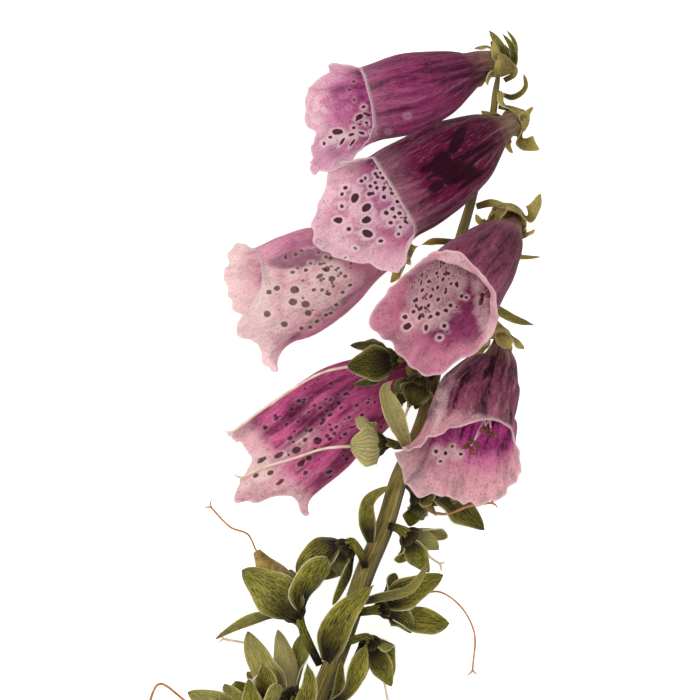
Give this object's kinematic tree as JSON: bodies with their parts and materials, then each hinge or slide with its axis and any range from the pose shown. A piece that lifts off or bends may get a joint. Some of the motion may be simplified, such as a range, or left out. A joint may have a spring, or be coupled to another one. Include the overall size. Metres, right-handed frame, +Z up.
{
  "type": "foxglove flower spike",
  "caption": "Cut foxglove spike lying on its side: hairy slanting stem, open spotted purple bells near the tip, and old calyxes with seed capsules and long styles below.",
  "frame": {"origin": "middle of the bottom of the spike's bounding box, on the surface it lies on", "axes": "+Z up from the surface, +Y along the spike towards its tip, +X to the side of the upper right bells as seen from above"},
  "size_m": [0.0903, 0.1848, 0.0546],
  "materials": {
    "stem_green": "matt, finely hairy",
    "sepal_green": "matt leaf with raised veins",
    "petal_purple": "soft, lets light through",
    "style_cream": "matt, lets a little light through",
    "anther_brown": "matt, dusty"
  },
  "bodies": {
    "root": {"stem": "stem_green", "corolla_1": "petal_purple", "calyx_1": "sepal_green", "stamens_1": "anther_brown", "pistil_1": "style_cream", "corolla_2": "petal_purple", "calyx_2": "sepal_green", "stamens_2": "anther_brown", "pistil_2": "style_cream", "corolla_3": "petal_purple", "calyx_3": "sepal_green", "stamens_3": "anther_brown", "pistil_3": "style_cream", "corolla_4": "petal_purple", "calyx_4": "sepal_green", "stamens_4": "anther_brown", "pistil_4": "style_cream", "corolla_5": "petal_purple", "calyx_5": "sepal_green", "stamens_5": "anther_brown", "pistil_5": "style_cream", "corolla_6": "petal_purple", "calyx_6": "sepal_green", "stamens_6": "anther_brown", "pistil_6": "style_cream", "fruit_calyx_1": "sepal_green", "seed_capsule_1": "style_cream", "fruit_calyx_2": "sepal_green", "seed_capsule_2": "style_cream", "fruit_calyx_3": "sepal_green", "seed_capsule_3": "style_cream", "fruit_calyx_4": "sepal_green", "seed_capsule_4": "style_cream", "fruit_calyx_5": "sepal_green", "seed_capsule_5": "style_cream", "fruit_calyx_6": "sepal_green", "seed_capsule_6": "style_cream", "fruit_calyx_7": "sepal_green", "seed_capsule_7": "style_cream", "fruit_calyx_8": "sepal_green", "seed_capsule_8": "style_cream", "fruit_calyx_9": "sepal_green", "seed_capsule_9": "style_cream", "fruit_calyx_10": "sepal_green", "seed_capsule_10": "style_cream", "fruit_calyx_11": "sepal_green", "seed_capsule_11": "style_cream", "fruit_calyx_12": "sepal_green", "seed_capsule_12": "style_cream", "bract_1": "sepal_green", "bract_2": "sepal_green", "bract_3": "sepal_green", "bract_4": "sepal_green", "bract_5": "sepal_green", "bract_6": "sepal_green", "bract_7": "sepal_green", "bract_8": "sepal_green", "bract_9": "sepal_green", "bud_cluster": "sepal_green"}
  },
  "joints": []
}
